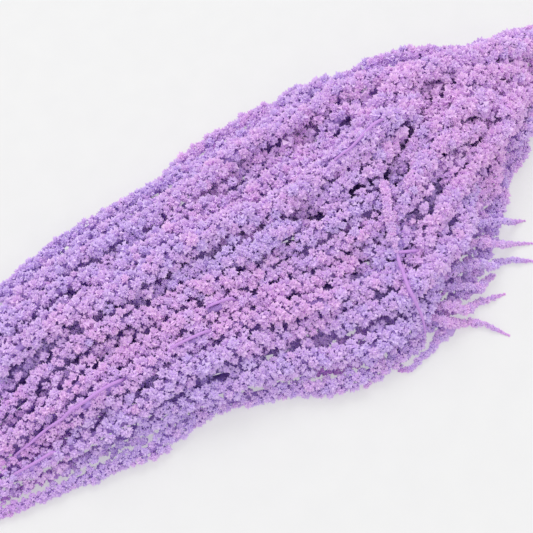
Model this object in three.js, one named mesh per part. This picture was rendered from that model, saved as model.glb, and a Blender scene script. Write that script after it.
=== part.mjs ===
// A cut bunch of hanging amaranth, dyed lilac and lying on a flat surface.
// Long limp tassels of packed florets grow from a few stems that an elastic band holds together.
// Millimetres, +Z up, +X towards the cut stem ends, origin under the middle of the bunch.
import * as THREE from "three";

// The tassels: each corner is a knob of florets, larger than life, with hollows between the knobs
const LONG_TASSELS = 36;
const TASSEL_RADIUS = 5.6;
const TASSEL_RADIUS_SPREAD = 0.13;
const TASSEL_SIDES = 4;
const KNOB_STEP = 7.8;
const HIDDEN_KNOB_STEP = 10;
const SIDE_KNOB_STEP = 6;
const KNOB_UNEVENNESS = 0.12;
const KNOB_SHIFT = 0.2;
const ROOT_TAPER = { share: 0.08, least: 0.5 };
const TIP_TAPER = { share: 0.3, least: 0.18 };
const END_DOME = 0.7;

// The stems and the band that holds them
const STEMS = 5;
const STEM_RADIUS = { cut: 3.4, end: 1.9 };
const STEM_SIDES = 6;
const STEM_RING_STEP = 14;
const STEM_END_X = { nearest: 120, furthest: 70 };
const CUT_END_X = 374;
const CUT_STAGGER = 6;
const BAND_X = 326;
const BUNDLED_LENGTH = 16;
const BUNDLE_Y = 19;
const BUNDLE_RING_RADIUS = 6.3;
const BAND = { turns: 3, width: 3, thickness: 1.6, gap: 0.35, segments: 20 };
const BUNDLE_HEIGHT = BUNDLE_RING_RADIUS + STEM_RADIUS.cut + BAND.gap + BAND.thickness;

// The bunch's two long edges seen from above, as [x, lower y, upper y]
const EDGES = [
  [-340, -18, 32],
  [-240, -36, 66],
  [-144, -44, 81],
  [-50, -58, 82],
  [0, -77, 87],
  [40, -97, 92],
  [75, -90, 93],
  [110, -68, 87],
  [150, -44, 79],
  [181, -22, 60],
  [205, -11, 50],
  [235, 0, 40],
  [326, 9, 29],
];

// How the long tassels are spread over the bunch
const LANE_CROWDING = 1.3;
const LANE_WANDER = { least: 0.03, most: 0.12, shortest: 40, longest: 90 };
const ROOT_X = { nearest: 264, furthest: 106 };
const ROOT_STATIONS = 9;
const TIP_X = { longest: -320, shortest: -190 };
const SHORT_TIP_X = { longest: -120, shortest: 0 };
const SHORT_EVERY = 7;
const SPREAD_LENGTH = 90;
const ROUTE_STEP = 12;
const LAYERS = 3;
const LAYER_HEIGHT = 12;

// A thin side shoot that lies across the top, and the short tassels that point back past the edge
const SIDE_SHOOT = { from: [94, 8], to: [47, -98], bow: -7, radius: 2.6, lift: 62 };
const SIDE_TASSELS = [
  { from: [92, -32], to: [160, -67], bow: 6, radius: 3.4, lift: 30 },
  { from: [90, -46], to: [152, -82], bow: 5, radius: 3.3, lift: 30 },
  { from: [78, -58], to: [144, -92], bow: 7, radius: 3.6, lift: 24 },
  { from: [70, -62], to: [116, -83], bow: -2, radius: 3.3, lift: 38 },
  { from: [62, -75], to: [112, -97], bow: -3, radius: 3.7, lift: 26 },
  { from: [58, -82], to: [96, -118], bow: 8, radius: 3.4, lift: 14 },
  { from: [28, -90], to: [76, -94], bow: -2, radius: 3.5, lift: 14 },
];

// How the strands lie on each other: limp tassels give way to the stiffer stems
const POINT_STEP = 5;
const CLEARANCE = 0.9;
const FALL_PASSES = 260;
const QUIET_PASSES = 120;
const FALL = 0.55;
const HOME_PULL = 0.05;
const QUIET_SMOOTHING = 0.1;
const LIMP = { smoothing: 0.25, sink: 2.8, giving: 1, relief: KNOB_UNEVENNESS };
const STIFF = { smoothing: 0.5, sink: 0, giving: 0.2, relief: 0.2 };

const LILACS = ["#b98fd6", "#a98ad6", "#c79bd8", "#9d7ccb"];
const STEM_COLOUR = "#c48cc9";
const BAND_COLOUR = "#d9b98a";

/** Seeded random numbers from 0 to 1. */
function seededRandom(seed) {
  let state = seed;
  return () => {
    state = (state + 0x6d2b79f5) | 0;
    let mixed = Math.imul(state ^ (state >>> 15), 1 | state);
    mixed = (mixed + Math.imul(mixed ^ (mixed >>> 7), 61 | mixed)) ^ mixed;
    return ((mixed ^ (mixed >>> 14)) >>> 0) / 4294967296;
  };
}

const random = seededRandom(31);
const between = (low, high) => low + (high - low) * random();

const edges = new THREE.CubicInterpolant(
  EDGES.map(([x]) => x),
  EDGES.flatMap(([, lower, upper]) => [lower, upper]),
  2,
);

/** The y of a lane, from -1 at the lower edge to 1 at the upper one, at one x along the bunch. */
function laneY(lane, x) {
  const [lower, upper] = edges.evaluate(x);
  return THREE.MathUtils.lerp(lower + TASSEL_RADIUS, upper - TASSEL_RADIUS, (lane + 1) / 2);
}

/** A limp strand: points a fixed step apart, the place each is drawn to, and the room it needs. */
function makeStrand(name, route, radiusAt, { smoothing, sink, giving, relief, isPinned = () => false }) {
  const curve = new THREE.CatmullRomCurve3(route);
  const steps = Math.round(curve.getLength() / POINT_STEP);
  const points = curve.getSpacedPoints(steps);
  return {
    name,
    points,
    home: points.map((point) => point.clone()),
    radiusAt,
    room: points.map((_, i) => radiusAt(i / steps) * (1 + relief) + CLEARANCE / 2),
    step: curve.getLength() / steps,
    smoothing,
    sink,
    giving: points.map((point) => (isPinned(point) ? 0 : giving)),
  };
}

/** A tassel's radius along its length: narrow at the root, full in the middle, pointed at the tip. */
function tasselProfile(radius) {
  return (share) => {
    const root = THREE.MathUtils.smoothstep(share, 0, ROOT_TAPER.share);
    const tip = Math.sqrt(Math.min(1, (1 - share) / TIP_TAPER.share));
    return (
      radius *
      THREE.MathUtils.lerp(ROOT_TAPER.least, 1, root) *
      THREE.MathUtils.lerp(TIP_TAPER.least, 1, tip)
    );
  };
}

/** The stems, gathered in a ring at the band and fanned out into the bunch. */
function layStems() {
  return Array.from({ length: STEMS }, (_, k) => {
    const placeInRing = k % 2 === 0 ? k / 2 : STEMS - (k + 1) / 2;
    const angle = (2 * Math.PI * (placeInRing + 0.25)) / STEMS;
    const bundled = (x) =>
      new THREE.Vector3(
        x,
        BUNDLE_Y - BUNDLE_RING_RADIUS * Math.cos(angle),
        BUNDLE_HEIGHT + BUNDLE_RING_RADIUS * Math.sin(angle),
      );
    const lane = (2 * (k + 0.5)) / STEMS - 1;
    const inBunch = (x, spread) =>
      new THREE.Vector3(x, laneY(lane * spread, x), LAYER_HEIGHT * (1 + (k % 2)));
    const route = [
      bundled(CUT_END_X - CUT_STAGGER * ((k * 2) % STEMS)),
      bundled(BAND_X),
      bundled(BAND_X - BUNDLED_LENGTH),
      inBunch(240, 0.5),
      inBunch(170, 0.6),
      inBunch(between(STEM_END_X.furthest, STEM_END_X.nearest), 0.62),
    ];
    const radiusAt = (share) => THREE.MathUtils.lerp(STEM_RADIUS.cut, STEM_RADIUS.end, share);
    const isPinned = (point) => point.x > BAND_X - BUNDLED_LENGTH;
    return makeStrand(`stem_${k + 1}`, route, radiusAt, { ...STIFF, isPinned });
  });
}

/** The place in a stem's points that is nearest to one x. */
function nearestPoint(stem, x) {
  const distances = stem.points.map((point) => Math.abs(point.x - x));
  return distances.indexOf(Math.min(...distances));
}

/** A long tassel: it grows from a stem, moves out to its own lane and runs along that to its tip. */
function layLongTassel(i, stems) {
  const rank = (2 * (i + 0.5)) / LONG_TASSELS - 1;
  const lane = Math.sign(rank) * Math.abs(rank) ** LANE_CROWDING;
  const stem = stems[Math.floor((i / LONG_TASSELS) * STEMS)];
  const station = ((i * 5 + 2) % ROOT_STATIONS) / (ROOT_STATIONS - 1);
  const bead = nearestPoint(stem, THREE.MathUtils.lerp(ROOT_X.nearest, ROOT_X.furthest, station));
  const start = stem.points[bead];
  const reach = i % SHORT_EVERY === 2 ? SHORT_TIP_X : TIP_X;
  const tipX = between(reach.longest, reach.shortest);
  const wander = between(LANE_WANDER.least, LANE_WANDER.most);
  const wave = between(LANE_WANDER.shortest, LANE_WANDER.longest);
  const phase = between(0, 2 * Math.PI);
  const layer = (i * 2) % LAYERS;
  const height = LAYER_HEIGHT * (layer + 0.6) + between(0, 3);
  const route = [];
  for (let x = start.x; x > tipX; x -= ROUTE_STEP) {
    const out = THREE.MathUtils.smoothstep(start.x - x, 0, SPREAD_LENGTH);
    const y = laneY(lane + wander * Math.sin(x / wave + phase), x);
    route.push(
      new THREE.Vector3(
        x,
        THREE.MathUtils.lerp(start.y, y, out),
        THREE.MathUtils.lerp(start.z + LAYER_HEIGHT, height, out),
      ),
    );
  }
  const radius = TASSEL_RADIUS * (1 + between(-TASSEL_RADIUS_SPREAD, TASSEL_RADIUS_SPREAD));
  const name = `tassel_${String(i + 1).padStart(2, "0")}`;
  const tassel = makeStrand(name, route, tasselProfile(radius), LIMP);
  return { ...tassel, stem, bead, knobStep: layer === 0 ? HIDDEN_KNOB_STEP : KNOB_STEP };
}

/** A short tassel or shoot laid from one point to another with a sideways bow. */
function layBowed(name, { from, to, bow, radius, lift }) {
  const start = new THREE.Vector3(...from, lift);
  const end = new THREE.Vector3(...to, lift);
  const along = end.clone().sub(start);
  const side = new THREE.Vector3(-along.y, along.x, 0).setLength(bow);
  const middle = start.clone().lerp(end, 0.5).add(side);
  const strand = makeStrand(name, [start, middle, end], tasselProfile(radius), LIMP);
  return { ...strand, knobStep: SIDE_KNOB_STEP };
}

/** Moves two points to a wanted distance, each by as much as it gives. */
function setDistance(a, b, wanted, givingA, givingB) {
  const gap = b.clone().sub(a);
  const length = gap.length() || 1e-6;
  gap.multiplyScalar((length - wanted) / length / (givingA + givingB || 1));
  a.addScaledVector(gap, givingA);
  b.addScaledVector(gap, -givingB);
}

/** Draws a strand to its place while it falls, and keeps its length, its smooth bend and its height. */
function moveStrand({ points, home, giving, step, smoothing, sink, room }, falling) {
  points.forEach((point, i) => {
    if (giving[i] === 0) return;
    if (falling) {
      point.x += HOME_PULL * (home[i].x - point.x);
      point.y += HOME_PULL * (home[i].y - point.y);
      point.z -= FALL;
    }
    if (i > 0 && i < points.length - 1) {
      const straight = points[i - 1].clone().lerp(points[i + 1], 0.5);
      point.lerp(straight, falling ? smoothing : smoothing * QUIET_SMOOTHING);
    }
  });
  for (let i = 1; i < points.length; i++)
    setDistance(points[i - 1], points[i], step, giving[i - 1], giving[i]);
  points.forEach((point, i) => {
    if (giving[i] > 0) point.z = Math.max(point.z, room[i] - sink);
  });
}

/** Pushes apart every two strands that lie closer than the room they need. */
function partStrands(beads) {
  const cell = 2 * Math.max(...beads.map((bead) => bead.room));
  const cells = new Map();
  const key = (x, y, z) => ((x + 512) * 1024 + (y + 512)) * 1024 + (z + 512);
  for (const bead of beads) {
    bead.cell = bead.point.toArray().map((value) => Math.floor(value / cell));
    const at = key(...bead.cell);
    if (!cells.has(at)) cells.set(at, []);
    cells.get(at).push(bead);
  }
  for (const bead of beads) {
    const [cx, cy, cz] = bead.cell;
    for (let x = cx - 1; x <= cx + 1; x++)
      for (let y = cy - 1; y <= cy + 1; y++)
        for (let z = cz - 1; z <= cz + 1; z++)
          for (const other of cells.get(key(x, y, z)) ?? []) {
            if (other.order <= bead.order || other.strand === bead.strand) continue;
            const wanted = bead.room + other.room;
            if (bead.point.distanceToSquared(other.point) < wanted * wanted)
              setDistance(bead.point, other.point, wanted, bead.giving, other.giving);
          }
  }
}

/** Lets the strands fall, held at their roots, and come to rest on the surface and on each other. */
function settle(strands) {
  const beads = strands.flatMap((strand) =>
    strand.points.map((point, i) => ({
      strand,
      point,
      room: strand.room[i],
      giving: strand.giving[i],
    })),
  );
  beads.forEach((bead, order) => (bead.order = order));
  const rooted = strands.filter((strand) => strand.stem);
  for (let pass = 0; pass < FALL_PASSES + QUIET_PASSES; pass++) {
    const falling = pass < FALL_PASSES;
    for (const strand of strands) moveStrand(strand, falling);
    if (falling)
      for (const { points, room, stem, bead } of rooted)
        setDistance(points[0], stem.points[bead], room[0] + stem.room[bead], 1, 0);
    partStrands(beads);
  }
}

/** A repeatable number from -1 to 1 for one knob of a strand. */
function unevenness(name, ring, column) {
  let mixed = ring * 374761393 + column * 668265263;
  for (const letter of name) mixed = Math.imul(mixed ^ letter.charCodeAt(0), 1274126177);
  mixed = Math.imul(mixed ^ (mixed >>> 13), 1274126177);
  return ((mixed ^ (mixed >>> 16)) >>> 0) / 2147483648 - 1;
}

/** A closed cylinder bent along a strand, with the corner at each ring and column placed by a rule. */
function bentCylinder(strand, sides, ringStep, placeCorner) {
  const curve = new THREE.CatmullRomCurve3(strand.points);
  const rings = Math.max(4, Math.round(curve.getLength() / ringStep));
  const frames = curve.computeFrenetFrames(rings);
  const geometry = new THREE.CylinderGeometry(1, 1, rings, sides, rings);
  geometry.deleteAttribute("normal");
  geometry.deleteAttribute("uv");
  const corners = geometry.attributes.position;
  for (let i = 0; i < corners.count; i++) {
    const ring = Math.round(rings / 2 - corners.getY(i));
    const place = curve.getPointAt(ring / rings);
    const radius = strand.radiusAt(ring / rings);
    const onAxis = Math.hypot(corners.getX(i), corners.getZ(i)) < 0.5;
    if (onAxis) {
      place.addScaledVector(frames.tangents[ring], END_DOME * radius * (ring === 0 ? -1 : 1));
    } else {
      const angle = Math.atan2(corners.getX(i), corners.getZ(i));
      const column = (Math.round((angle * sides) / (2 * Math.PI)) + sides) % sides;
      const { reach, turn } = placeCorner(ring, column);
      place.addScaledVector(frames.normals[ring], reach * radius * Math.sin(angle + turn));
      place.addScaledVector(frames.binormals[ring], reach * radius * Math.cos(angle + turn));
    }
    corners.setXYZ(i, place.x, place.y, Math.max(0, place.z));
  }
  return geometry;
}

/** A plain round stem. */
function stemGeometry(stem) {
  return bentCylinder(stem, STEM_SIDES, STEM_RING_STEP, () => ({ reach: 1, turn: 0 }));
}

/** A tassel whose rings are each turned half a side from the last, so that every corner is a knob. */
function tasselGeometry(tassel) {
  return bentCylinder(tassel, TASSEL_SIDES, tassel.knobStep, (ring, column) => ({
    reach: 1 + KNOB_UNEVENNESS * unevenness(tassel.name, ring, column),
    turn: (ring * Math.PI) / TASSEL_SIDES + KNOB_SHIFT * unevenness(tassel.name, column, ring),
  }));
}

/** The elastic band: a few rounded turns side by side around the bundled stems. */
function bandGeometry() {
  const inner = BUNDLE_RING_RADIUS + STEM_RADIUS.cut + BAND.gap;
  const half = (BAND.turns * BAND.width) / 2;
  const profile = [new THREE.Vector2(inner, half), new THREE.Vector2(inner, -half)];
  for (let turn = 0; turn < BAND.turns; turn++) {
    const middle = -half + BAND.width * (turn + 0.5);
    profile.push(new THREE.Vector2(inner + BAND.thickness, middle - BAND.width * 0.3));
    profile.push(new THREE.Vector2(inner + BAND.thickness, middle + BAND.width * 0.3));
    if (turn < BAND.turns - 1)
      profile.push(new THREE.Vector2(inner + BAND.thickness * 0.5, middle + BAND.width * 0.5));
  }
  profile.push(profile[0].clone());
  return new THREE.LatheGeometry(profile, BAND.segments).rotateZ(Math.PI / 2);
}

/** A named mesh with a plain material. */
function makeMesh(name, geometry, colour, roughness) {
  const material = new THREE.MeshStandardMaterial({ color: colour, roughness, metalness: 0 });
  const mesh = new THREE.Mesh(geometry, material);
  mesh.name = name;
  return mesh;
}

const stems = layStems();
const longTassels = Array.from({ length: LONG_TASSELS }, (_, i) => layLongTassel(i, stems));
const sideTassels = SIDE_TASSELS.map((shape, i) => layBowed(`side_tassel_${i + 1}`, shape));
const tassels = [...longTassels, ...sideTassels, layBowed("side_shoot", SIDE_SHOOT)];
settle([...stems, ...tassels]);

const bunch = new THREE.Group();
for (const stem of stems) bunch.add(makeMesh(stem.name, stemGeometry(stem), STEM_COLOUR, 0.6));
tassels.forEach((tassel, i) =>
  bunch.add(makeMesh(tassel.name, tasselGeometry(tassel), LILACS[i % LILACS.length], 0.9)),
);
const band = makeMesh("elastic_band", bandGeometry(), BAND_COLOUR, 0.5);
band.position.set(BAND_X, BUNDLE_Y, BUNDLE_HEIGHT);
bunch.add(band);

const box = new THREE.Box3().setFromObject(bunch);
const middle = box.getCenter(new THREE.Vector3());
const toOrigin = new THREE.Vector3(-middle.x, -middle.y, -box.min.z);
bunch.children.forEach((mesh) => mesh.position.add(toOrigin));

export default bunch;
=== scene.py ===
"""A cut bunch of hanging amaranth, dyed lilac, lying on a pale surface.

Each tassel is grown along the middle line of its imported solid: a slim core, covered on a spiral with
clusters of small florets. Fluted stems and a wound elastic band take the place of the plain ones.
All lengths are in metres, in the frame's own axes.
"""

import logging
import math
import random
from bisect import bisect_right
from dataclasses import dataclass, field
from enum import Enum
from typing import Any, Iterable, Iterator

import bmesh
import bpy
from mathutils import Matrix, Quaternion, Vector, noise
from mathutils.bvhtree import BVHTree


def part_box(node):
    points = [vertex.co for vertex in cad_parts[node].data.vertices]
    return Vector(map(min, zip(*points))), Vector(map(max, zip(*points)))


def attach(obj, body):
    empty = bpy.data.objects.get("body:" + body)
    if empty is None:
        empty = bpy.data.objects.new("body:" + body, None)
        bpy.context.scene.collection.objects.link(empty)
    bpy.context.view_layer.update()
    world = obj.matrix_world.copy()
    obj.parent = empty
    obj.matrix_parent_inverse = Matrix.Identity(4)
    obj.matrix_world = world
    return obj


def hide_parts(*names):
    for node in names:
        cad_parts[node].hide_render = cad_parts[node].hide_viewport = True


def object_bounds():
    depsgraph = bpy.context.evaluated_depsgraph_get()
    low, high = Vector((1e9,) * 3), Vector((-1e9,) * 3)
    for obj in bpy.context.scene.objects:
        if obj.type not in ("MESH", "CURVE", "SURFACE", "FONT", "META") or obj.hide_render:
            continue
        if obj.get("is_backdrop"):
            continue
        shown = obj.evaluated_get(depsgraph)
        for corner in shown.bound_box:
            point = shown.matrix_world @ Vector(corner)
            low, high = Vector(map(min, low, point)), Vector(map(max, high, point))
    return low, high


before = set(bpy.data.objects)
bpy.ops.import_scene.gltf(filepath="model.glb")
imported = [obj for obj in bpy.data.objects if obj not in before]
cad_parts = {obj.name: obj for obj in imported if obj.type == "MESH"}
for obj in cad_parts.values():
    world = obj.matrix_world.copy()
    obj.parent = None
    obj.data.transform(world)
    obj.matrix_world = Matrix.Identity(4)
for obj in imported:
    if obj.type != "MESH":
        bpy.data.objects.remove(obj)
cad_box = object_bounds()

log = logging.getLogger("amaranth")

Colour = tuple[float, float, float]
Stretch = tuple[float, float]

MM = 0.001
BODY = "root"
BAND_NODE = "elastic_band"
SHOOT_NODE = "side_shoot"
SURFACE = 0.25 * MM
GOLDEN_ANGLE = math.pi * (3 - math.sqrt(5))
UP = Vector((0, 0, 1))
IMAGE_PIXELS = 533
PIXEL_MM = 0.62

# Where a bare stalk shows on a tassel: the shares of the length at which it comes out and goes back in.
BARE_STALKS: dict[str, tuple[Stretch, ...]] = {
    "tassel_05": ((0.75, 0.81),),
    "tassel_08": ((0.61, 0.67), (0.72, 0.87)),
    "tassel_11": ((0.43, 0.48),),
    "tassel_23": ((0.18, 0.27),),
}

# How the slim tassels at the side differ from the long ones.
SIDE_TASSEL: dict[str, Any] = {
    "fullness": 1.15,
    "fineness": 1.2,
    "smallest": 0.2,
    "thin": 0.75,
    "widest_gap": 0.0,
}

# How the shoot across the top differs: it thins out half way and ends as a bare stalk with a twig.
SIDE_SHOOT: dict[str, Any] = {
    "fullness": 1.1,
    "fineness": 1.6,
    "smallest": 0.15,
    "thin": 0.42,
    "thin_from": 0.42,
    "thin_by": 0.52,
    "bare_from": 0.5,
    "twig": Vector((22, -8, -8)) * MM,
    "stalk_radius": 1.0 * MM,
    "widest_gap": 0.0,
}


class Slot(Enum):
    """The names of the material slots."""

    FLORETS = "florets"
    STEM = "stem"
    BAND = "band"


def linear(red: int, green: int, blue: int) -> Colour:
    """Turns an everyday 0 to 255 colour into the linear one that a shader takes.

    Args:
        red: the red part.
        green: the green part.
        blue: the blue part.

    Returns:
        The linear colour.
    """

    def part(value: int) -> float:
        """One linear part."""
        share = value / 255
        return share / 12.92 if share <= 0.04045 else ((share + 0.055) / 1.055) ** 2.4

    return part(red), part(green), part(blue)


class Value:
    """A shader number that adds a Math node for each sum that Python writes with it."""

    def __init__(self, shader: "Shader", socket: bpy.types.NodeSocket) -> None:
        """Wraps an output socket of a shader."""
        self.shader = shader
        self.socket = socket

    def _math(self, operation: str, first: Any, second: Any) -> "Value":
        """One Math node."""
        made = self.shader.node("ShaderNodeMath", {"operation": operation}, {0: first, 1: second})
        return Value(self.shader, made.outputs[0])

    def __add__(self, other: Any) -> "Value":
        """Adds."""
        return self._math("ADD", self, other)

    __radd__ = __add__

    def __mul__(self, other: Any) -> "Value":
        """Multiplies."""
        return self._math("MULTIPLY", self, other)

    __rmul__ = __mul__

    def __sub__(self, other: Any) -> "Value":
        """Takes away."""
        return self._math("SUBTRACT", self, other)

    def __rsub__(self, other: Any) -> "Value":
        """Takes this away from another."""
        return self._math("SUBTRACT", other, self)


class Shader:
    """A material's node tree, with one method that makes any node."""

    def __init__(self, name: str) -> None:
        """Starts a material that holds only its Principled shader and its output.

        Args:
            name: the material's name.
        """
        self.material = bpy.data.materials.new(name)
        self.material.use_nodes = True
        self.tree = self.material.node_tree
        self.surface = self.tree.nodes["Principled BSDF"]

    def node(self, kind: str, settings: dict[str, Any], inputs: dict[Any, Any]) -> bpy.types.Node:
        """Makes a node.

        Args:
            kind: the node's type.
            settings: its own settings, set first.
            inputs: a value or a link for each socket, by name or number.

        Returns:
            The node.
        """
        made = self.tree.nodes.new(kind)
        for key, setting in settings.items():
            setattr(made, key, setting)
        for key, given in inputs.items():
            self.feed(made.inputs[key], given)
        return made

    def feed(self, socket: bpy.types.NodeSocket, given: Any) -> None:
        """Links a socket, or sets it.

        Args:
            socket: the input socket.
            given: a value or an output to link, or a plain number, vector or colour to set.
        """
        if isinstance(given, Value):
            self.tree.links.new(given.socket, socket)
        elif isinstance(given, bpy.types.NodeSocket):
            self.tree.links.new(given, socket)
        elif isinstance(given, tuple) and len(given) == 3 and len(socket.default_value) == 4:
            socket.default_value = (*given, 1.0)
        else:
            socket.default_value = given

    def set(self, **inputs: Any) -> None:
        """Feeds the Principled shader's sockets, with underscores for the spaces in their names."""
        for key, given in inputs.items():
            self.feed(self.surface.inputs[key.replace("_", " ")], given)

    def value(self, socket: bpy.types.NodeSocket) -> Value:
        """Wraps a number socket."""
        return Value(self, socket)

    def mix(self, share: Any, first: Any, second: Any) -> bpy.types.NodeSocket:
        """Mixes two colours.

        Args:
            share: how much of the second.
            first: a colour or a link.
            second: a colour or a link.

        Returns:
            The colour socket.
        """
        made = self.node("ShaderNodeMix", {"data_type": "RGBA"}, {0: share, 6: first, 7: second})
        return made.outputs[2]

    def noise(self, scale: float, detail: float, stretch: Colour = (1, 1, 1)) -> Value:
        """Noise on Object coordinates.

        Args:
            scale: how fine it is.
            detail: how many finer layers it has.
            stretch: how much finer along each axis.

        Returns:
            The noise, about 0 to 1.
        """
        place = self.node("ShaderNodeTexCoord", {}, {}).outputs["Object"]
        turned = self.node("ShaderNodeMapping", {}, {"Vector": place, "Scale": stretch}).outputs[0]
        made = self.node("ShaderNodeTexNoise", {}, {"Vector": turned, "Scale": scale, "Detail": detail})
        return self.value(made.outputs[0])

    def bump(self, height: Value, strength: float, distance: float) -> bpy.types.NodeSocket:
        """A bump that feeds Normal.

        Args:
            height: the relief, 0 to 1.
            strength: how strongly it shows.
            distance: how high the relief is.

        Returns:
            The normal socket.
        """
        inputs = {"Height": height, "Strength": strength, "Distance": distance}
        return self.node("ShaderNodeBump", {}, inputs).outputs[0]


@dataclass(frozen=True)
class FloretFinish:
    """Dyed florets: pale at their points and dark violet where they meet, partly their dye and partly
    painted shade; some bluer and some pinker.
    """

    # Dark violet: the dye of the core and the bare stalks at half share, and painted shade at the buds'
    # bases.
    deep_dye_and_shade: Colour = linear(136, 76, 206)
    blue_lilac: Colour = linear(230, 208, 248)
    pink_lilac: Colour = linear(248, 209, 246)
    fresh_tip: Colour = linear(246, 180, 242)
    mottle_scale: float = 420.0
    mottle_share: float = 0.35
    grain_scale: float = 1100.0
    grain_height: float = 0.5 * MM
    roughness: float = 0.85
    smoothing: float = 0.15
    sheen: float = 0.25
    sheen_roughness: float = 0.5
    sheen_tint: Colour = linear(236, 214, 246)

    def material(self, name: str) -> bpy.types.Material:
        """Makes the material.

        Args:
            name: its name.

        Returns:
            The material.
        """
        shader = Shader(name)
        dye = shader.node("ShaderNodeAttribute", {"attribute_name": Floret.LAYER}, {}).outputs["Color"]
        parts = shader.node("ShaderNodeSeparateColor", {}, {"Color": dye})
        height, tint, age = (shader.value(parts.outputs[k]) for k in range(3))
        mottle = shader.noise(self.mottle_scale, 2.0)
        pinkness = tint + self.mottle_share * (mottle - 0.5)
        petal = shader.mix(pinkness, self.blue_lilac, self.pink_lilac)
        petal = shader.mix(age, petal, self.fresh_tip)
        # Low heights turn the colour dark violet: painted shade at the buds' bases, and the dye of the
        # core and the bare stalks.
        shader.set(
            Base_Color=shader.mix(height, self.deep_dye_and_shade, petal),
            Roughness=self.roughness - self.smoothing * mottle,
            Sheen_Weight=self.sheen,
            Sheen_Roughness=self.sheen_roughness,
            Sheen_Tint=self.sheen_tint,
            Normal=shader.bump(shader.noise(self.grain_scale, 2.0), 0.5, self.grain_height),
        )
        return shader.material


@dataclass(frozen=True)
class StemFinish:
    """A dyed stalk: pink-mauve, streaked and finely ribbed along its length."""

    pale: Colour = linear(214, 168, 214)
    dark: Colour = linear(168, 108, 172)
    streak_scale: float = 900.0
    streak_stretch: Colour = (0.05, 1.0, 1.0)
    streak_share: float = 0.65
    blotch_scale: float = 60.0
    blotch_share: float = 0.35
    roughness: float = 0.5
    dulling: float = 0.25
    rib_height: float = 0.3 * MM

    def material(self, name: str) -> bpy.types.Material:
        """Makes the material.

        Args:
            name: its name.

        Returns:
            The material.
        """
        shader = Shader(name)
        streaks = shader.noise(self.streak_scale, 3.0, self.streak_stretch)
        blotches = shader.noise(self.blotch_scale, 2.0)
        paleness = self.streak_share * streaks + self.blotch_share * blotches
        shader.set(
            Base_Color=shader.mix(paleness, self.dark, self.pale),
            Roughness=self.roughness + self.dulling * blotches,
            Normal=shader.bump(streaks, 0.5, self.rib_height),
        )
        return shader.material


@dataclass(frozen=True)
class PithFinish:
    """The cut end of a stalk: pale, grainy pith."""

    pale: Colour = linear(236, 222, 226)
    dark: Colour = linear(196, 160, 190)
    grain_scale: float = 1600.0
    grain_height: float = 0.3 * MM
    roughness: float = 0.8
    dulling: float = 0.1

    def material(self, name: str) -> bpy.types.Material:
        """Makes the material.

        Args:
            name: its name.

        Returns:
            The material.
        """
        shader = Shader(name)
        grain = shader.noise(self.grain_scale, 4.0)
        shader.set(
            Base_Color=shader.mix(grain, self.dark, self.pale),
            Roughness=self.roughness + self.dulling * grain,
            Normal=shader.bump(grain, 0.6, self.grain_height),
        )
        return shader.material


@dataclass(frozen=True)
class LatexFinish:
    """A natural latex band, slightly see-through in colour and dusty."""

    pale: Colour = linear(222, 190, 140)
    dark: Colour = linear(196, 154, 98)
    dust_scale: float = 350.0
    roughness: float = 0.42
    dulling: float = 0.3
    glow_through: float = 0.15
    glow_depth: float = 1.0 * MM
    grain_scale: float = 1400.0
    grain_height: float = 0.1 * MM

    def material(self, name: str) -> bpy.types.Material:
        """Makes the material.

        Args:
            name: its name.

        Returns:
            The material.
        """
        shader = Shader(name)
        dust = shader.noise(self.dust_scale, 3.0)
        shader.set(
            Base_Color=shader.mix(dust, self.dark, self.pale),
            Roughness=self.roughness + self.dulling * dust,
            Subsurface_Weight=self.glow_through,
            Subsurface_Scale=self.glow_depth,
            Normal=shader.bump(shader.noise(self.grain_scale, 2.0), 0.2, self.grain_height),
        )
        return shader.material


@dataclass(frozen=True)
class PaperFinish:
    """The plain pale surface under the bunch: it glows a little by itself, which fades the shadows on it
    and lights the bunch from below.
    """

    pale: Colour = linear(172, 172, 172)
    shade: Colour = linear(165, 165, 166)
    # The surface's own glow: painted light that fades the shadows on it and lights the bunch from below.
    glow: float = 0.43
    fibre_scale: float = 55.0
    fibre_height: float = 1.2 * MM
    roughness: float = 0.9

    def material(self, name: str) -> bpy.types.Material:
        """Makes the material.

        Args:
            name: its name.

        Returns:
            The material.
        """
        shader = Shader(name)
        fibres = shader.noise(self.fibre_scale, 5.0)
        shader.set(
            Base_Color=shader.mix(fibres, self.shade, self.pale),
            Roughness=self.roughness,
            Emission_Color=(1, 1, 1),
            Emission_Strength=self.glow,
            Normal=shader.bump(fibres, 0.25, self.fibre_height),
        )
        return shader.material


def link(name: str, shape: bmesh.types.BMesh, *materials: bpy.types.Material) -> bpy.types.Object:
    """Makes an object of a finished shape.

    Args:
        name: the piece's name.
        shape: its bmesh, which is freed.
        materials: its materials, in the order of its faces' numbers.

    Returns:
        The object, at the origin.
    """
    mesh = bpy.data.meshes.new(name)
    shape.to_mesh(mesh)
    shape.free()
    for material in materials:
        mesh.materials.append(material)
    piece = bpy.data.objects.new(name, mesh)
    bpy.context.scene.collection.objects.link(piece)
    return piece


def round_off(shape: bmesh.types.BMesh, faces: Iterable[bmesh.types.BMFace]) -> None:
    """Turns the faces of a closed form outward and shades them smooth.

    Args:
        shape: the bmesh.
        faces: all the faces of the form.
    """
    faces = list(faces)
    bmesh.ops.recalc_face_normals(shape, faces=faces)
    for face in faces:
        face.smooth = True


def rest_on_surface(shape: bmesh.types.BMesh) -> None:
    """Presses flat what would reach through the surface."""
    for vert in shape.verts:
        vert.co.z = max(vert.co.z, SURFACE)


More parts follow.
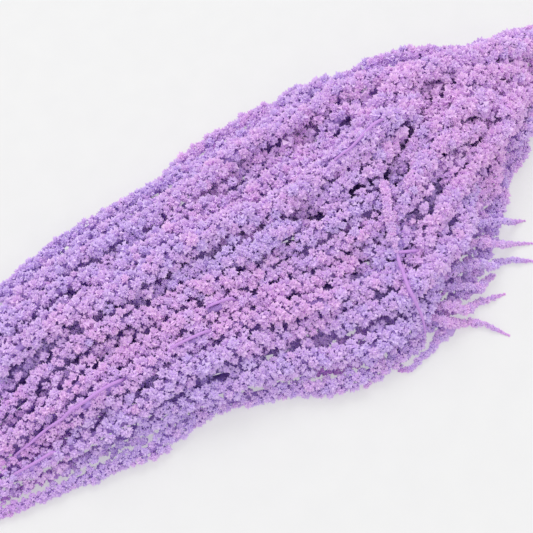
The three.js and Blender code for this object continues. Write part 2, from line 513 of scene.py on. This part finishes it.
def sweep(
    shape: bmesh.types.BMesh, outline: list[float], frames: list[Matrix], closed: bool = False
) -> list[bmesh.types.BMFace]:
    """Draws a section along a line of frames.

    Args:
        shape: the bmesh to add to.
        outline: the section's radius at each of its corners, in a circle.
        frames: where the section stands, one after another, with its size in the frame's scale.
        closed: whether the last section joins the first; otherwise both ends are closed with a face.

    Returns:
        The faces that close the ends.
    """
    ring = bmesh.ops.create_circle(shape, segments=len(outline), radius=1, cap_ends=not closed)["verts"]
    ends = list(ring[0].link_faces)
    edges = list({edge for vert in ring for edge in vert.link_edges})
    first = edges
    for vert, radius in zip(ring, outline):
        vert.co *= radius
    bmesh.ops.transform(shape, matrix=frames[0], verts=ring)
    for before, after in zip(frames, frames[1:]):
        grown = bmesh.ops.extrude_edge_only(shape, edges=edges)["geom"]
        ring = [element for element in grown if isinstance(element, bmesh.types.BMVert)]
        known = set(ring)
        edges = [e for e in grown if isinstance(e, bmesh.types.BMEdge) and known.issuperset(e.verts)]
        bmesh.ops.transform(shape, matrix=after @ before.inverted(), verts=ring)
    if closed:
        bmesh.ops.bridge_loops(shape, edges=first + edges)
    else:
        ends += bmesh.ops.contextual_create(shape, geom=edges)["faces"]
    return ends


def finish_piece(piece: bpy.types.Object, node: str, slot: Slot) -> None:
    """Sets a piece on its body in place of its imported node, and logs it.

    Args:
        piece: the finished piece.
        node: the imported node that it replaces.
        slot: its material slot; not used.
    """
    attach(piece, BODY)
    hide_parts(node)
    log.info("%s: %d faces", piece.name, len(piece.data.polygons))


@dataclass(frozen=True)
class Stop:
    """One stop on the walk along a strand, with the turn from +Z to the strand's direction there."""

    distance: float
    share: float
    place: Vector
    turn: Quaternion
    reach: float

    @property
    def along(self) -> Vector:
        """The strand's direction."""
        return self.turn @ UP

    @property
    def upward(self) -> Vector:
        """The direction square to the strand that points up the most."""
        return square_up(self.along)

    def section(self, size: float) -> Matrix:
        """The frame of a section across the strand, with its size as its scale."""
        return Matrix.Translation(self.place) @ self.turn.to_matrix().to_4x4() @ Matrix.Scale(size, 4)


def square_up(along: Vector) -> Vector:
    """The direction square to a line that points up the most."""
    return (UP - along * along.z).normalized()


@dataclass
class Strand:
    """The middle line of a packed strand, from its root to its tip, with its reach at each point."""

    SAME_CORNER = 0.002 * MM

    name: str
    points: list[Vector]
    reaches: list[float]
    starts: list[float] = field(default_factory=list)

    def __post_init__(self) -> None:
        """Works out how far along the line each point lies."""
        self.starts = [0.0]
        for before, after in zip(self.points, self.points[1:]):
            self.starts.append(self.starts[-1] + (after - before).length)

    @property
    def length(self) -> float:
        """The line's length."""
        return self.starts[-1]

    @classmethod
    def from_node(cls, name: str) -> "Strand":
        """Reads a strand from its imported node, ring by ring.

        Args:
            name: the node.

        Returns:
            The strand.
        """
        shape = bmesh.new()
        shape.from_mesh(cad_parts[name].data)
        bmesh.ops.remove_doubles(shape, verts=shape.verts, dist=cls.SAME_CORNER)
        shape.verts.ensure_lookup_table()
        end = cls._rings_from(shape.verts[0])[-1][0]
        rings = cls._rings_from(end)
        points = [sum((v.co for v in ring), Vector()) / len(ring) for ring in rings]
        reaches = [
            sum((v.co - middle).length for v in ring) / len(ring) for ring, middle in zip(rings, points)
        ]
        shape.free()
        third = len(reaches) // 3
        if sum(reaches[:third]) < sum(reaches[-third:]):
            points.reverse()
            reaches.reverse()
        reaches[0] = reaches[1]
        reaches[-1] = 0.5 * reaches[-2]
        return cls(name, points, reaches)

    @staticmethod
    def _rings_from(end: bmesh.types.BMVert) -> list[list[bmesh.types.BMVert]]:
        """Sorts the corners of a strand into rings.

        Args:
            end: the corner to start from.

        Returns:
            The rings of corners met one after another from there.
        """
        rings = [[end]]
        seen = {end}
        while rings[-1]:
            ring = []
            for vert in rings[-1]:
                for edge in vert.link_edges:
                    other = edge.other_vert(vert)
                    if other not in seen:
                        seen.add(other)
                        ring.append(other)
            rings.append(ring)
        return rings[:-1]

    def at(self, distance: float) -> tuple[Vector, Vector, float]:
        """The line at one distance from its root.

        Args:
            distance: the distance.

        Returns:
            The place, the direction and the reach there.
        """
        last = len(self.points) - 1
        k = max(1, min(last, bisect_right(self.starts, distance)))
        span = self.starts[k] - self.starts[k - 1]
        share = min(1.0, max(0.0, (distance - self.starts[k - 1]) / span))
        before = self.points[max(0, k - 2)]
        first, second = self.points[k - 1], self.points[k]
        after = self.points[min(last, k + 1)]
        leave, arrive = (second - before) / 2, (after - first) / 2
        cube, square = share**3, share**2
        place = (
            first * (2 * cube - 3 * square + 1)
            + leave * (cube - 2 * square + share)
            + second * (3 * square - 2 * cube)
            + arrive * (cube - square)
        )
        direction = (leave.normalized().lerp(arrive.normalized(), share)).normalized()
        return place, direction, self.reaches[k - 1] * (1 - share) + self.reaches[k] * share

    def steps(self, step: float) -> Iterator[Stop]:
        """Walks the line with a frame that doesn't twist.

        Args:
            step: how far apart the stops are.

        Yields:
            The stops, from the root to the tip.
        """
        turn = None
        count = max(2, round(self.length / step))
        for i in range(count + 1):
            distance = self.length * i / count
            place, direction, reach = self.at(distance)
            if turn is None:
                turn = direction.to_track_quat("Z", "Y")
            else:
                turn = (turn @ UP).rotation_difference(direction) @ turn
            yield Stop(distance, distance / self.length, place, turn, reach)


class Crowd:
    """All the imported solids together, for finding what the bunch itself hides."""

    SPREAD = math.radians(50)
    RAYS = 6
    FAR = 150 * MM
    NEAR = 14 * MM
    LOWEST_VIEW = -0.15

    def __init__(self, nodes: list[bpy.types.Object]) -> None:
        """Collects the solids.

        Args:
            nodes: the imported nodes.
        """
        shape = bmesh.new()
        for node in nodes:
            shape.from_mesh(node.data)
        self.tree = BVHTree.FromBMesh(shape)
        shape.free()

    def openness(self, place: Vector, out: Vector) -> int:
        """Counts the ways by which a place can be seen.

        Args:
            place: the place.
            out: the direction that it faces.

        Returns:
            How many of the rays around that direction leave the bunch, from 0 to 7.
        """
        turn = out.to_track_quat("Z", "Y")
        lean = Quaternion((0, 1, 0), self.SPREAD) @ UP
        ways = [out]
        ways += [turn @ (Quaternion(UP, math.tau * k / self.RAYS) @ lean) for k in range(self.RAYS)]
        seen = 0
        for way in ways:
            below = way.z < self.LOWEST_VIEW
            hidden = below or self.tree.ray_cast(place, way, self.FAR)[0] is not None
            seen += not hidden
        return seen

    def gap(self, place: Vector, out: Vector) -> float:
        """The way from a place to the next strand, or nothing where none is near."""
        return self.tree.ray_cast(place, out, self.NEAR)[3] or 0.0


class Detail(Enum):
    """How finely a cluster is made: the number of its buds."""

    FINE = 36
    MIDDLE = 26
    COARSE = 12


@dataclass
class Floret:
    """One cluster of florets: a low dome of small pointed buds, each a closed three-sided cone."""

    LAYER = "dye"
    KINDS = 4

    detail: Detail
    sides: int = 3
    dome_radius: float = 2.75 * MM
    cover: float = 6.5 * MM
    bud_height: float = 1.7 * MM
    spread: float = 0.9
    roundness: float = 1.2
    # Share of a bud's paleness at its base corners: less than at its point, as painted shade where the
    # buds meet.
    shaded_base_paleness: float = 0.85
    sizes: Stretch = (0.7, 1.4)
    lights: Stretch = (0.8, 1.0)
    stands: Stretch = (0.82, 1.12)

    def build(self, seed: int) -> bpy.types.Mesh:
        """Builds a cluster around +Z, with each corner's height in its dye layer; the base corners of the
        buds sit lower than their points, as painted shade where the buds meet.

        Args:
            seed: the seed of its unevenness.

        Returns:
            The mesh.
        """
        draw = random.Random(seed)
        buds = self.detail.value
        shape = bmesh.new()
        layer = shape.verts.layers.float_color.new(self.LAYER)
        for k in range(buds):
            lean = math.acos(1 - self.roundness * (k + 0.5) / buds)
            spin = Quaternion(UP, k * GOLDEN_ANGLE + draw.uniform(-self.spread, self.spread))
            tilt = spin @ Quaternion((0, 1, 0), lean + draw.uniform(-self.spread, self.spread) / 2)
            size = draw.uniform(*self.sizes)
            light = draw.uniform(*self.lights)
            stand = self.dome_radius * draw.uniform(*self.stands)
            bud = bmesh.ops.create_cone(
                shape,
                cap_ends=True,
                segments=self.sides,
                radius1=self.cover / math.sqrt(buds) * size,
                radius2=0,
                depth=self.bud_height * size,
                matrix=Matrix.Translation(tilt @ Vector((0, 0, stand)))
                @ tilt.to_matrix().to_4x4()
                @ Matrix.Rotation(draw.uniform(0, math.tau), 4, "Z"),
            )
            # The point of each bud keeps its paleness and its base corners get less: painted shade where
            # the buds meet.
            points = sorted(bud["verts"], key=lambda vert: -(tilt.inverted() @ vert.co).z)
            for i, vert in enumerate(points):
                vert[layer] = (light if i == 0 else self.shaded_base_paleness * light, 0, 0, 1)
        mesh = bpy.data.meshes.new(f"cluster_{seed}")
        shape.to_mesh(mesh)
        shape.free()
        return mesh


@dataclass(frozen=True)
class Spot:
    """A cluster's place on its tassel, its mesh, how pink it is dyed and how young it is."""

    matrix: Matrix
    mesh: bpy.types.Mesh
    tint: float
    age: float


@dataclass
class Tassel:
    """A tassel: a slim core covered on a spiral with clusters of florets, bare in some stretches.

    The dye layer of a corner holds its height in the cluster (lower at the buds' bases, where it paints
    shade), how pink it is and how young it is.
    """

    BARE = (0.5, 1.0, 0.6, 1)
    CORE = (0.5, 0.4, 0.0, 1)
    HARDLY_SEEN = 2
    OPENLY_SEEN = 4
    TINY = 0.3
    SMALL = 0.6

    strand: Strand
    crowd: Crowd
    clusters: dict[Detail, list[bpy.types.Mesh]]
    seed: int

    # The outline: how far the florets stand out, and where along the length they thin out or end.
    fullness: float = 1.42
    full_reach: float = 5.4 * MM
    thin: float = 1.0
    thin_from: float = 0.4
    thin_by: float = 0.7
    bare_from: float = 1.1
    lumps: float = 2.6 * MM
    lump_length: float = 9 * MM
    finer_lumps: float = 2.3
    clearance: float = 1.3
    free_gap: float = 2.5 * MM
    widest_gap: float = 4 * MM

    # The clusters: their sizes, how close they sit and how they lean towards the tip.
    step: float = 0.5 * MM
    fineness: float = 1.0
    smallest: float = 0.4
    largest: float = 1.1
    cluster_area: float = (5.75 * MM) ** 2
    root_room: float = 0.8
    room_growth: float = 0.6
    most_room: float = 1.08
    unevenness: float = 0.25
    sizes: Stretch = (0.8, 1.25)
    root_size: float = 1.15
    size_loss: float = 0.2
    gap_growth: float = 0.07
    depth: float = 3.7 * MM
    lowest: float = 0.2 * MM
    lean: float = 0.25
    open_from: float = 1.25
    bud_stand: float = 1.8 * MM
    handful: int = 16

    # The dye: how pink the tassel is, and how that drifts over the bunch, along it and by chance.
    tints: Stretch = (0.1, 0.9)
    zone_size: float = 55 * MM
    zone_drift: float = 0.35
    length_drift: float = 0.5
    drift_middle: float = 0.4
    chance_drift: float = 0.22
    young_from: float = 0.8
    young_rate: float = 4.0

    # The core and the bare stalks.
    core_share: float = 0.4
    pressed_share: float = 1.2
    core_sides: int = 8
    core_step: float = 4 * MM
    stalks: tuple[Stretch, ...] = ()
    stalk_radius: float = 0.95 * MM
    stalk_sides: int = 6
    stalk_step: float = 4 * MM
    stalk_foot: float = 1.1
    stalk_taper: float = 0.4
    stalk_lift: float = 0.1 * MM
    stalk_wave: float = 1.2 * MM
    stalk_waves: float = 5.0
    stalk_dive: float = 6 * MM
    stalk_cover: float = 0.93
    cleared: float = 0.6
    twig: Vector | None = None
    twig_steps: int = 6

    def build(self, material: bpy.types.Material) -> bpy.types.Object:
        """Builds the tassel.

        Args:
            material: the florets' material.

        Returns:
            The piece.
        """
        draw = random.Random(self.seed)
        shape = bmesh.new()
        layer = shape.verts.layers.float_color.new(Floret.LAYER)
        self._core(shape, layer)
        for start, end in self.stalks:
            self._rod(shape, layer, self._stalk_line(start, end))
        if self.twig is not None:
            foot = self.strand.at(self.strand.length * self.bare_from)[0]
            shares = [k / self.twig_steps for k in range(self.twig_steps + 1)]
            self._rod(shape, layer, [foot + self.twig * share for share in shares])
        spots = self._spots(draw)
        for k in range(0, len(spots), self.handful):
            sprig = self._sprig(spots[k : k + self.handful])
            shape.from_mesh(sprig)
            bpy.data.meshes.remove(sprig)
        rest_on_surface(shape)
        return link(f"florets_{self.strand.name}", shape, material)

    def _reach(self, stop: Stop) -> float:
        """The reach that is left where the tassel thins out.

        Args:
            stop: the stop along the strand.

        Returns:
            The reach.
        """
        share = (stop.share - self.thin_from) / (self.thin_by - self.thin_from)
        share = min(1.0, max(0.0, share))
        return stop.reach * (1 - (1 - self.thin) * share * share * (3 - 2 * share))

    def _size(self, stop: Stop) -> float:
        """The usual size of the clusters at a stop."""
        share = self._reach(stop) / self.full_reach
        return max(self.smallest, min(self.largest, share)) * self.fineness

    def _spots(self, draw: random.Random) -> list[Spot]:
        """Finds a place for every cluster, on a spiral from the root to the tip.

        Args:
            draw: the tassel's own chance.

        Returns:
            The clusters that no other strand presses flat.
        """
        spots = []
        tint = draw.uniform(*self.tints)
        due, turns = 0.0, 0
        for stop in self.strand.steps(self.step):
            if stop.share > self.bare_from:
                break
            room = min(self.most_room, self.root_room + self.room_growth * stop.share)
            area = self.cluster_area * self._size(stop) ** 2 * room
            due += self.step * math.tau * self._reach(stop) / area
            while due >= 1:
                due -= 1
                turns += 1
                angle = turns * GOLDEN_ANGLE + draw.uniform(-self.unevenness, self.unevenness)
                spot = self._spot(draw, stop, angle, tint)
                if spot is not None:
                    spots.append(spot)
        return spots

    def _spot(self, draw: random.Random, stop: Stop, angle: float, tint: float) -> Spot | None:
        """Places one cluster.

        Args:
            draw: the tassel's own chance.
            stop: the stop along the strand where it grows.
            angle: its way round the strand.
            tint: how pink the tassel is dyed.

        Returns:
            The cluster, or nothing where it is pressed flat or cleared for a bare stalk.
        """
        size = self._size(stop)
        around = Vector((math.cos(angle), math.sin(angle), 0))
        out = stop.turn @ around
        grow = size * draw.uniform(*self.sizes) * (self.root_size - self.size_loss * stop.share)
        bridge = self._bridge(stop, out)
        grow *= 1 + self.gap_growth * bridge / MM
        swell = self.lumps * size * self._lump(stop, around)
        height = self._reach(stop) * self.fullness - self.depth * size + swell + bridge
        foot = stop.place + out * max(self.lowest, height)
        facing = (out + stop.along * self.lean).normalized().to_track_quat("Z", "Y").to_matrix()
        matrix = (
            Matrix.Translation(foot)
            @ facing.to_4x4()
            @ Matrix.Rotation(draw.uniform(0, math.tau), 4, "Z")
            @ Matrix.Scale(grow, 4)
        )
        dye = min(1, max(0, tint + self._drift(stop) + draw.gauss(0, self.chance_drift)))
        age = max(0.0, stop.share - self.young_from) * self.young_rate
        stand = max(self.open_from * stop.reach, height + self.bud_stand * grow)
        seen = self.crowd.openness(stop.place + out * stand, out)
        mesh = draw.choice(self.clusters[self._detail(seen, size)])
        covered = self._under_stalk(stop, out) and draw.random() < self.cleared
        return Spot(matrix, mesh, dye, age) if seen and not covered else None

    def _bridge(self, stop: Stop, out: Vector) -> float:
        """How far a cluster stands out further to close the gap to the next strand.

        Args:
            stop: the stop along the strand.
            out: the direction that the cluster faces.

        Returns:
            The distance.
        """
        gap = self.crowd.gap(stop.place + out * self.clearance * stop.reach, out)
        return min(self.widest_gap, max(0.0, 0.5 * (gap - self.free_gap)))

    def _lump(self, stop: Stop, around: Vector) -> float:
        """How much the tassel swells or sinks at a place, as a share of its lumps."""
        place = around + Vector((0, 0, stop.distance / self.lump_length + self.seed))
        return noise.noise(place) + 0.5 * noise.noise(self.finer_lumps * place)

    def _drift(self, stop: Stop) -> float:
        """How much pinker the dye is at a stop than on the tassel as a whole."""
        zone = self.zone_drift * noise.noise(stop.place / self.zone_size)
        return zone + self.length_drift * (self.drift_middle - stop.share)

    def _detail(self, seen: int, size: float) -> Detail:
        """How finely a cluster is made.

        Args:
            seen: how openly it is seen.
            size: its size.

        Returns:
            The detail.
        """
        if seen < self.HARDLY_SEEN or size < self.TINY:
            return Detail.COARSE
        return Detail.FINE if seen > self.OPENLY_SEEN and size > self.SMALL else Detail.MIDDLE

    def _under_stalk(self, stop: Stop, out: Vector) -> bool:
        """Whether a bare stalk lies over a place."""
        near = any(start < stop.share < end for start, end in self.stalks)
        return near and out.dot(stop.upward) > self.stalk_cover

    def _stalk_line(self, start: float, end: float) -> list[Vector]:
        """The line of a bare stalk on top of the tassel.

        Args:
            start: the share of the length where it comes out of the florets.
            end: the share where it goes back in.

        Returns:
            Its points.
        """
        points = []
        count = max(6, round(self.strand.length * (end - start) / self.stalk_step))
        for k in range(count + 1):
            part = k / count
            place, along, reach = self.strand.at(self.strand.length * (start + (end - start) * part))
            wave = noise.noise(Vector((start * 100, part * self.stalk_waves, self.seed)))
            dive = self.stalk_dive * (2 * part - 1) ** 6
            lift = reach * self.fullness + self.stalk_lift + self.stalk_wave * wave - dive
            points.append(place + square_up(along) * lift)
        return points

    def _rod(self, shape: bmesh.types.BMesh, layer: Any, points: list[Vector]) -> None:
        """Adds a bare stalk.

        Args:
            shape: the tassel's bmesh.
            layer: its dye layer.
            points: the stalk's line.
        """
        known = set(shape.verts)
        frames = []
        for k, point in enumerate(points):
            along = points[min(k + 1, len(points) - 1)] - points[max(k - 1, 0)]
            turn = along.to_track_quat("Z", "Y").to_matrix().to_4x4()
            radius = self.stalk_radius * (self.stalk_foot - self.stalk_taper * k / len(points))
            frames.append(Matrix.Translation(point) @ turn @ Matrix.Scale(radius, 4))
        sweep(shape, [1.0] * self.stalk_sides, frames)
        fresh = [vert for vert in shape.verts if vert not in known]
        for vert in fresh:
            vert[layer] = self.BARE
        round_off(shape, {face for vert in fresh for face in vert.link_faces})

    def _sprig(self, spots: list[Spot]) -> bpy.types.Mesh:
        """Copies a handful of clusters to their places.

        Args:
            spots: where they go.

        Returns:
            Their mesh.
        """
        shape = bmesh.new()
        layer = shape.verts.layers.float_color.new(Floret.LAYER)
        stencils = {spot.mesh.name: [] for spot in spots}
        for spot in spots:
            stencils[spot.mesh.name] = stencils[spot.mesh.name] or self._stencil(shape, spot.mesh)
        for spot in spots:
            copied = bmesh.ops.duplicate(shape, geom=stencils[spot.mesh.name])["geom"]
            verts = [element for element in copied if isinstance(element, bmesh.types.BMVert)]
            bmesh.ops.transform(shape, matrix=spot.matrix, verts=verts)
            for vert in verts:
                vert[layer] = (vert[layer][0], spot.tint, spot.age, 1)
        spare = [e for stencil in stencils.values() for e in stencil if isinstance(e, bmesh.types.BMVert)]
        bmesh.ops.delete(shape, geom=spare)
        mesh = bpy.data.meshes.new("sprig")
        shape.to_mesh(mesh)
        shape.free()
        return mesh

    @staticmethod
    def _stencil(shape: bmesh.types.BMesh, mesh: bpy.types.Mesh) -> list[Any]:
        """Adds a cluster to copy from.

        Args:
            shape: the sprig's bmesh.
            mesh: the cluster.

        Returns:
            Its corners, edges and faces.
        """
        before = set(shape.verts)
        shape.from_mesh(mesh)
        verts = [vert for vert in shape.verts if vert not in before]
        edges = {edge for vert in verts for edge in vert.link_edges}
        faces = {face for vert in verts for face in vert.link_faces}
        return [*verts, *edges, *faces]

    def _core(self, shape: bmesh.types.BMesh, layer: Any) -> None:
        """Extrudes the core along the line, full where the tassel is hidden and bare past its florets.

        Args:
            shape: the tassel's bmesh, still empty.
            layer: its dye layer.
        """
        frames, bare = [], []
        for stop in self.strand.steps(self.core_step):
            bare.append(stop.share > self.bare_from)
            top = stop.place + stop.upward * self.clearance * stop.reach
            width = self.core_share
            if bare[-1]:
                width = 1.0
            elif self.crowd.openness(top, stop.upward) < self.HARDLY_SEEN:
                width = self.pressed_share
            frames.append(stop.section(width * self._reach(stop)))
        sweep(shape, [1.0] * self.core_sides, frames)
        for i, vert in enumerate(shape.verts):
            vert[layer] = self.BARE if bare[i // self.core_sides] else self.CORE
        round_off(shape, shape.faces)


@dataclass
class Stem:
    """A stalk: fluted, swollen a little at its knuckles, and cut at a slant."""

    strand: Strand
    seed: int
    flutes: int = 9
    flute_depth: float = 0.07
    girth: float = 0.97
    step: float = 3 * MM
    knuckle_gap: float = 46 * MM
    knuckle_length: float = 5 * MM
    knuckle_swell: float = 0.13
    slant: float = 0.42
    rind: float = 0.55 * MM
    pith_sink: float = 0.12 * MM
    tip_height: float = 1.2 * MM

    def build(self, bark: bpy.types.Material, pith: bpy.types.Material) -> bpy.types.Object:
        """Builds the stem.

        Args:
            bark: the stalk's material.
            pith: the cut end's material.

        Returns:
            The piece.
        """
        draw = random.Random(self.seed)
        shape = bmesh.new()
        phase = draw.uniform(0, self.knuckle_gap)
        frames = []
        for stop in self.strand.steps(self.step):
            off = (stop.distance + phase) % self.knuckle_gap - self.knuckle_gap / 2
            swell = 1 + self.knuckle_swell * math.exp(-((off / self.knuckle_length) ** 2))
            frames.append(stop.section(stop.reach * swell))
        frames[0] = frames[0] @ Matrix.Rotation(draw.uniform(-1, 1) * self.slant, 4, "X")
        outline = [self.girth, self.girth - self.flute_depth] * self.flutes
        cut, tip = sweep(shape, outline, frames)
        round_off(shape, shape.faces)
        cut.smooth = False
        bmesh.ops.inset_region(shape, faces=[cut], thickness=self.rind, depth=-self.pith_sink)
        cut.material_index = 1
        bmesh.ops.poke(shape, faces=[tip], offset=self.tip_height)
        rest_on_surface(shape)
        return link(f"stalk_{self.strand.name}", shape, bark, pith)


@dataclass
class Band:
    """An elastic band, wound round the stems and crossing over itself on top."""

    turns: int = 3
    steps: int = 180
    sides: int = 8
    crossing: float = 0.16
    lift: float = 1.1 * MM
    thickness: float = 1.3 * MM
    half_width: float = 0.5
    half_thickness: float = 0.54

    def build(self, latex: bpy.types.Material) -> bpy.types.Object:
        """Builds the band.

        Args:
            latex: its material.

        Returns:
            The piece.
        """
        low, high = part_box(BAND_NODE)
        middle = (low + high) / 2
        radius = (high.z - low.z) / 2 - self.thickness / 2
        width = (high.x - low.x) / self.turns
        side = Vector((1, 0, 0))
        size = Matrix.Diagonal((width * self.half_width, self.thickness * self.half_thickness, 1, 1))
        flat_side = Matrix.Rotation(math.pi / self.sides, 4, "Z")
        shape = bmesh.new()
        frames = []
        for i in range(self.steps):
            share = i / self.steps
            back = max(0.0, 1 - min(share, 1 - share) / (self.crossing / 2))
            wound = (share - 0.5) / (1 - self.crossing)
            crossed = share / self.crossing if share < 0.5 else (share - 1) / self.crossing
            shift = -crossed if back > 0 else max(-0.5, min(0.5, wound))
            angle = math.tau * self.turns * share + math.pi / 2
            out = Vector((0, math.cos(angle), math.sin(angle)))
            reach = radius + self.lift * math.sin(back * math.pi / 2) ** 2
            place = middle + out * reach + Vector((shift * width * (self.turns - 1), 0, 0))
            turn = Matrix((side, out, side.cross(out))).transposed().to_4x4()
            frames.append(Matrix.Translation(place) @ turn @ size @ flat_side)
        sweep(shape, [1.0] * self.sides, frames, closed=True)
        round_off(shape, shape.faces)
        rest_on_surface(shape)
        return link("wound_band", shape, latex)


@dataclass
class Studio:
    """The pale surface, the soft light and the camera."""

    SENSOR = 36.0

    azimuth: float = math.radians(-35.5)
    elevation: float = math.radians(65)
    distance: float = 0.75
    picture_width: float = IMAGE_PIXELS * PIXEL_MM * MM
    from_band: Vector = field(default_factory=lambda: Vector((-326, -19, 0)) * MM)
    target_height: float = 12 * MM
    floor_reach: float = 12.0
    ambient: float = 0.92
    key_power: float = 85.0
    key_toward: Vector = field(default_factory=lambda: Vector((-0.2, 0.8, 0.95)))
    key_distance: float = 5.0
    key_size: float = 3.0
    bounces: int = 16

    def build(self) -> None:
        """Adds the floor, the light and the camera."""
        low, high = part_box(BAND_NODE)
        target = (low + high) / 2 + self.from_band
        target.z = self.target_height
        self._floor()
        self._light(target)
        self._camera(target)

    def _floor(self) -> None:
        """Lays the surface."""
        shape = bmesh.new()
        bmesh.ops.create_grid(shape, x_segments=1, y_segments=1, size=self.floor_reach)
        link("surface", shape, PaperFinish().material("paper"))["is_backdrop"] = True

    def _light(self, target: Vector) -> None:
        """Sets a soft overall light and a large key light to the upper left.

        Args:
            target: what the key light shines on.
        """
        scene = bpy.context.scene
        world = bpy.data.worlds.new("studio")
        world.use_nodes = True
        background = world.node_tree.nodes["Background"]
        background.inputs["Color"].default_value = (1, 1, 1, 1)
        background.inputs["Strength"].default_value = self.ambient
        scene.world = world
        scene.view_settings.view_transform = "Standard"
        scene.cycles.max_bounces = self.bounces
        scene.cycles.diffuse_bounces = self.bounces
        lamp = bpy.data.lights.new("key", "AREA")
        lamp.shape = "DISK"
        lamp.size = self.key_size
        lamp.energy = self.key_power
        key = bpy.data.objects.new("key", lamp)
        toward = Matrix.Rotation(self.azimuth, 3, "Z") @ self.key_toward.normalized()
        key.location = target + toward * self.key_distance
        key.rotation_euler = toward.to_track_quat("Z", "Y").to_euler()
        scene.collection.objects.link(key)

    def _camera(self, target: Vector) -> None:
        """Stands the camera at the picture's angle.

        Args:
            target: what is in the middle of the picture.
        """
        flat = math.cos(self.elevation)
        right, ahead = math.sin(self.azimuth) * flat, -math.cos(self.azimuth) * flat
        back = Vector((right, ahead, math.sin(self.elevation)))
        data = bpy.data.cameras.new("camera")
        data.sensor_width = self.SENSOR
        data.lens = self.SENSOR * self.distance / self.picture_width
        camera = bpy.data.objects.new("camera", data)
        camera.location = target + back * self.distance
        camera.rotation_euler = back.to_track_quat("Z", "Y").to_euler()
        bpy.context.scene.collection.objects.link(camera)
        bpy.context.scene.camera = camera


def style_of(name: str) -> dict[str, Any]:
    """How a tassel differs from a plain long one.

    Args:
        name: its node.

    Returns:
        The fields of Tassel that it sets.
    """
    if name == SHOOT_NODE:
        return SIDE_SHOOT
    if name.startswith("side"):
        return SIDE_TASSEL
    return {"stalks": BARE_STALKS.get(name, ())}


def write_sizes(before: tuple[Vector, Vector], after: tuple[Vector, Vector]) -> None:
    """Args:
        before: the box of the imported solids.
        after: the box of the finished pieces.
    """
    boxes = {"cad": before, "visual": after}
    plain = {name: [list(low), list(high)] for name, (low, high) in boxes.items()}


def main() -> None:
    """Dresses every node of the bunch and sets the studio."""
    logging.basicConfig(level=logging.INFO, format="%(message)s")
    log.setLevel(logging.INFO)
    names = sorted(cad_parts)
    strands = {name: Strand.from_node(name) for name in names if name != BAND_NODE}
    crowd = Crowd(list(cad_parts.values()))
    florets = FloretFinish().material("dyed_florets")
    bark = StemFinish().material("dyed_stalk")
    pith = PithFinish().material("cut_pith")
    latex = LatexFinish().material("latex")
    clusters = {
        kind: [Floret(kind).build(kind.value + seed) for seed in range(Floret.KINDS)] for kind in Detail
    }
    for number, (name, strand) in enumerate(strands.items()):
        if name.startswith("stem"):
            finish_piece(Stem(strand, number).build(bark, pith), name, Slot.STEM)
        else:
            tassel = Tassel(strand, crowd, clusters, number, **style_of(name))
            finish_piece(tassel.build(florets), name, Slot.FLORETS)
    finish_piece(Band().build(latex), BAND_NODE, Slot.BAND)
    Studio().build()
    write_sizes(cad_box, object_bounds())


if __name__ == "__main__":
    main()
